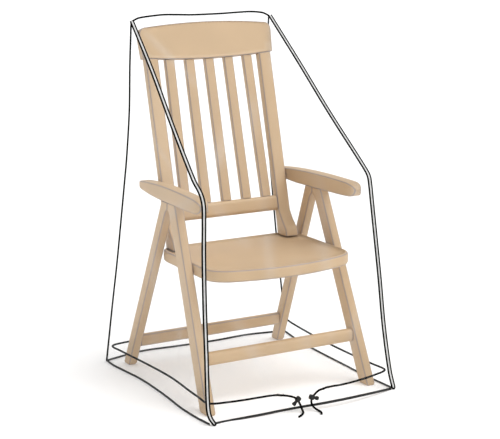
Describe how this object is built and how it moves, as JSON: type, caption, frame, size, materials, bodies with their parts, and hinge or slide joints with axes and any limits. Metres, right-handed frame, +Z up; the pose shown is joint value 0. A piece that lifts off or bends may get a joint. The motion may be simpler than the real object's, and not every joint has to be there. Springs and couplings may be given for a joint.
{
  "type": "folding chair cover over a folding armchair",
  "caption": "Clear film hood for a folding armchair, with white seam tapes, black piping and a hem drawcord with spring locks, fitted over the plain chair.",
  "frame": {"origin": "on the floor, under the middle of the hood", "axes": "+Z up, -Y towards the front of the chair, +X to the right as seen from the front"},
  "size_m": [0.6998, 0.8623, 1.164],
  "materials": {
    "film": "clear soft film, slightly wrinkled",
    "tape": "white woven tape",
    "piping": "black bound edge",
    "cord": "black braided cord",
    "lock": "black moulded plastic",
    "chair": "beige moulded plastic, satin"
  },
  "bodies": {
    "root": {"front_panel": "film", "left_panel": "film", "right_panel": "film", "back_panel": "film", "seam_tape_left": "tape", "seam_tape_right": "tape", "ridge_piping": "piping", "back_piping_left": "piping", "back_piping_right": "piping", "drawcord": "cord", "cord_end_left": "cord", "cord_end_right": "cord", "lock_body_left": "lock", "lock_body_right": "lock", "lock_button_left": "lock", "lock_button_right": "lock", "chair_top_rail": "chair", "chair_lower_rail": "chair", "chair_seat": "chair", "chair_slat_1": "chair", "chair_slat_2": "chair", "chair_slat_3": "chair", "chair_slat_4": "chair", "chair_slat_5": "chair", "chair_stile_left": "chair", "chair_stile_right": "chair", "chair_arm_left": "chair", "chair_arm_right": "chair", "chair_front_leg_left": "chair", "chair_front_leg_right": "chair", "chair_back_leg_left": "chair", "chair_back_leg_right": "chair", "chair_front_bar": "chair", "chair_back_bar": "chair"}
  },
  "joints": []
}
